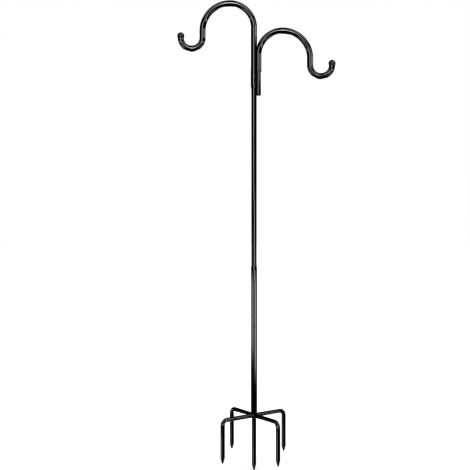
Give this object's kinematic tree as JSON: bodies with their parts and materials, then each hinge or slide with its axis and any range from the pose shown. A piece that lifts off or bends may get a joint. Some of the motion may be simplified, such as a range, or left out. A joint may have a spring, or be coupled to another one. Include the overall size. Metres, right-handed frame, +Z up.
{
  "type": "shepherds hook",
  "caption": "Tall pointed-base garden pole in slip-together sections, with an arched hook at the top and a lower arched hook that swivels beside it, for hanging plants or lights.",
  "frame": {"origin": "on the pole's axis at ground level, the underside of the base's four arms", "axes": "+Z up the pole; the top hook reaches out along -X and the side hook along +X; -Y is the front"},
  "size_m": [0.5114, 0.214, 1.5239],
  "materials": {
    "black_coat": "glossy black powder coat",
    "black_ball": "glossy black enamel",
    "bare_steel": "mill finish with weld tint"
  },
  "bodies": {
    "base": {"centre_spike": "black_coat", "prong_back_right": "black_coat", "prong_back_left": "black_coat", "prong_front_left": "black_coat", "prong_front_right": "black_coat", "hub_weld": "black_coat", "pole_spigot": "black_coat", "spigot_plug_weld": "bare_steel"},
    "lower_pole": {"lower_pole": "black_coat", "lower_stop_bush": "bare_steel"},
    "middle_pole": {"middle_pole": "black_coat"},
    "upper_pole": {"upper_pole": "black_coat", "coupling_rod": "black_coat"},
    "top_hook": {"top_hook_tube": "black_coat", "top_ball_cap": "black_ball", "side_socket": "black_coat", "side_socket_welds": "black_coat"},
    "side_hook": {"side_hook_tube": "black_coat", "side_ball_cap": "black_ball", "side_hook_pin": "black_coat"}
  },
  "joints": [
    {"name": "lower_pole_lift", "type": "slide", "parent": "base", "child": "lower_pole", "axis": [0, 0, 1], "range_m": [0, 0.08]},
    {"name": "middle_pole_lift", "type": "slide", "parent": "lower_pole", "child": "middle_pole", "axis": [0, 0, 1], "range_m": [0, 0.08]},
    {"name": "upper_pole_lift", "type": "slide", "parent": "middle_pole", "child": "upper_pole", "axis": [0, 0, 1], "range_m": [0, 0.055]},
    {"name": "top_hook_swivel", "type": "hinge", "parent": "upper_pole", "child": "top_hook", "pos_m": [0, 0, 1.0661], "axis": [0, 0, 1], "continuous": true},
    {"name": "side_hook_swivel", "type": "hinge", "parent": "top_hook", "child": "side_hook", "pos_m": [0.01384, -0.01384, 1.1191], "axis": [0, 0, 1], "range_deg": [-145, 55]}
  ]
}
